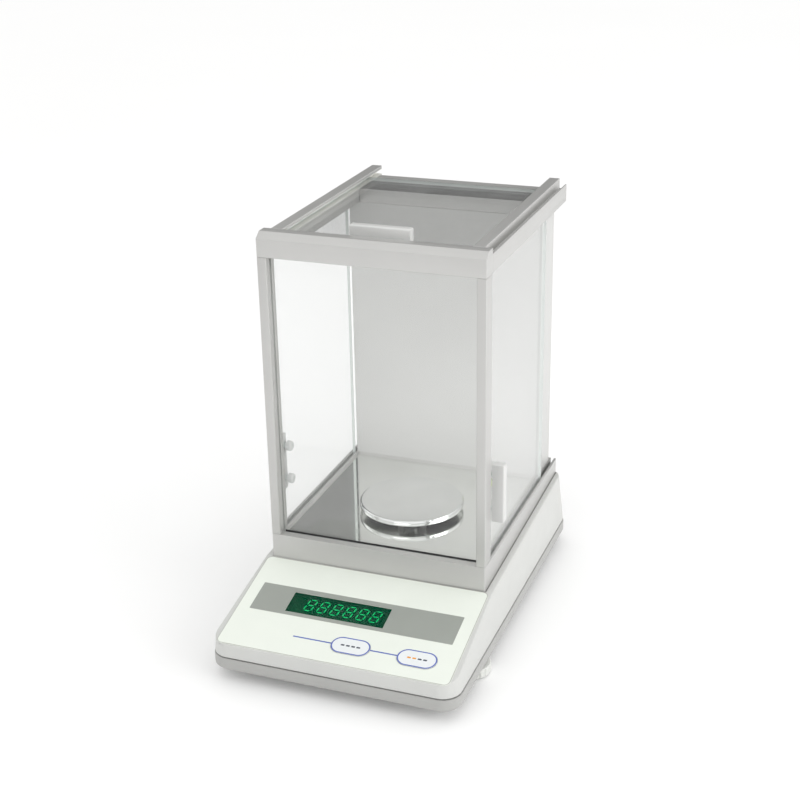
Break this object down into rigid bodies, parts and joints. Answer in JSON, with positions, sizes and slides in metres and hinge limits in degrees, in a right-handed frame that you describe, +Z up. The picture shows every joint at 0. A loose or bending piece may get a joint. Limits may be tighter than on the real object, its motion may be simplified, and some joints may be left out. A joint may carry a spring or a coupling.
{
  "type": "analytical balance",
  "caption": "Bench analytical balance: round stainless pan in a glass draft shield with sliding side and top doors, sloping keypad with digital display, levelling feet.",
  "frame": {"origin": "on the bench under the centre of the balance's footprint box", "axes": "+X to the user's right, +Y away from the user, +Z up"},
  "size_m": [0.22, 0.347, 0.3581],
  "materials": {
    "casing_white": "fine satin",
    "frame_paint": "satin",
    "door_fitting": "satin",
    "knob_plastic": "gloss",
    "clear_glass": "clear",
    "stainless": "polished",
    "keypad_film": "satin print",
    "key_film": "satin print",
    "display_filter": "gloss",
    "display_glass": "gloss",
    "circuit_board": "satin",
    "black_plastic": "satin",
    "white_nylon": "satin",
    "brass_turned": "turned",
    "foot_plastic": "satin",
    "rubber_black": "matt",
    "screw_steel": "plated",
    "bare_aluminium": "machined",
    "copper_coil": "wound",
    "soft_iron": "ground",
    "vial_acrylic": "clear"
  },
  "bodies": {
    "housing": {"lower_casing": "casing_white", "upper_cover": "casing_white", "base_frame": "frame_paint", "front_post_left": "frame_paint", "front_post_right": "frame_paint", "top_front_bar": "frame_paint", "top_rail_left": "frame_paint", "top_rail_right": "frame_paint", "top_rear_bar": "frame_paint", "rear_wall": "frame_paint", "rear_post_left": "frame_paint", "rear_post_right": "frame_paint", "rear_cover": "frame_paint", "front_glass": "clear_glass", "chamber_floor": "stainless", "keypad_overlay": "keypad_film", "display_window": "display_filter", "display_tube": "display_glass", "display_board": "circuit_board", "main_board": "circuit_board", "key_switches": "black_plastic", "power_inlet": "black_plastic", "side_door_tracks": "black_plastic", "position_sensor": "black_plastic", "top_door_tracks": "white_nylon", "board_standoffs": "brass_turned", "foot_bushings": "brass_turned", "rear_feet": "rubber_black", "front_glass_gasket": "rubber_black", "rear_seal": "rubber_black", "casing_screws": "screw_steel", "rear_cover_screws": "screw_steel", "data_port": "screw_steel", "chassis_plate": "bare_aluminium", "cell_frame": "bare_aluminium", "magnet_pot": "soft_iron", "transformer": "soft_iron", "level_vial": "vial_acrylic"},
    "right_door": {"right_door_glass": "clear_glass", "right_door_handle": "door_fitting", "right_door_knobs": "knob_plastic"},
    "left_door": {"left_door_glass": "clear_glass", "left_door_handle": "door_fitting", "left_door_knobs": "knob_plastic"},
    "top_door": {"top_door_glass": "clear_glass", "top_door_handle": "door_fitting", "top_door_knobs": "knob_plastic"},
    "load_receiver": {"load_receiver": "bare_aluminium", "pan_support": "stainless"},
    "weighing_pan": {"weighing_pan": "stainless"},
    "upper_guide": {"upper_guide": "bare_aluminium"},
    "lower_guide": {"lower_guide": "bare_aluminium"},
    "lever": {"lever": "bare_aluminium", "force_coil": "copper_coil"},
    "key_left": {"key_left": "key_film"},
    "key_right": {"key_right": "key_film"},
    "foot_pad_left": {"foot_pad_left": "rubber_black"},
    "foot_pad_right": {"foot_pad_right": "rubber_black"},
    "foot_wheel_left": {"foot_wheel_left": "foot_plastic"},
    "foot_wheel_right": {"foot_wheel_right": "foot_plastic"}
  },
  "joints": [
    {"name": "right_door_slide", "type": "slide", "parent": "housing", "child": "right_door", "axis": [0, 1, 0], "range_m": [0, 0.14]},
    {"name": "left_door_slide", "type": "slide", "parent": "housing", "child": "left_door", "axis": [0, 1, 0], "range_m": [0, 0.14]},
    {"name": "top_door_slide", "type": "slide", "parent": "housing", "child": "top_door", "axis": [0, 1, 0], "range_m": [0, 0.14]},
    {"name": "receiver_travel", "type": "slide", "parent": "housing", "child": "load_receiver", "axis": [0, 0, 1], "range_m": [-0.0003, 0.0003], "stiffness_N_per_m": 20000},
    {"name": "pan_lift_off", "type": "slide", "parent": "load_receiver", "child": "weighing_pan", "axis": [0, 0, 1], "range_m": [0, 0.03]},
    {"name": "upper_guide_flex", "type": "hinge", "parent": "housing", "child": "upper_guide", "pos_m": [0, 0.0612, 0.0587], "axis": [1, 0, 0], "range_deg": [-0.7, 0.7]},
    {"name": "lower_guide_flex", "type": "hinge", "parent": "housing", "child": "lower_guide", "pos_m": [0, 0.0612, 0.0357], "axis": [1, 0, 0], "range_deg": [-0.7, 0.7]},
    {"name": "lever_flex", "type": "hinge", "parent": "housing", "child": "lever", "pos_m": [0, 0.0703, 0.047], "axis": [1, 0, 0], "range_deg": [-0.6, 0.6]},
    {"name": "key_left_press", "type": "slide", "parent": "housing", "child": "key_left", "axis": [0, 0.2272, -0.9738], "range_m": [0, 0.0005], "stiffness_N_per_m": 3000},
    {"name": "key_right_press", "type": "slide", "parent": "housing", "child": "key_right", "axis": [0, 0.2272, -0.9738], "range_m": [0, 0.0005], "stiffness_N_per_m": 3000},
    {"name": "foot_pad_left_travel", "type": "slide", "parent": "housing", "child": "foot_pad_left", "axis": [0, 0, -1], "range_m": [0, 0.00501]},
    {"name": "foot_wheel_left_turn", "type": "hinge", "parent": "foot_pad_left", "child": "foot_wheel_left", "pos_m": [-0.094, -0.093, 0.005], "axis": [0, 0, -1], "range_deg": [0, 1440]},
    {"name": "foot_pad_right_travel", "type": "slide", "parent": "housing", "child": "foot_pad_right", "axis": [0, 0, -1], "range_m": [0, 0.00501]},
    {"name": "foot_wheel_right_turn", "type": "hinge", "parent": "foot_pad_right", "child": "foot_wheel_right", "pos_m": [0.094, -0.093, 0.005], "axis": [0, 0, -1], "range_deg": [0, 1440]}
  ],
  "couplings": [
    {"joint": "upper_guide_flex", "follows": "receiver_travel", "rad_per_m": -33.445},
    {"joint": "lower_guide_flex", "follows": "receiver_travel", "rad_per_m": -33.445},
    {"joint": "lever_flex", "follows": "receiver_travel", "rad_per_m": -26.316},
    {"joint": "foot_pad_left_travel", "follows": "foot_wheel_left_turn", "m_per_rad": 0.00019894},
    {"joint": "foot_pad_right_travel", "follows": "foot_wheel_right_turn", "m_per_rad": 0.00019894}
  ]
}
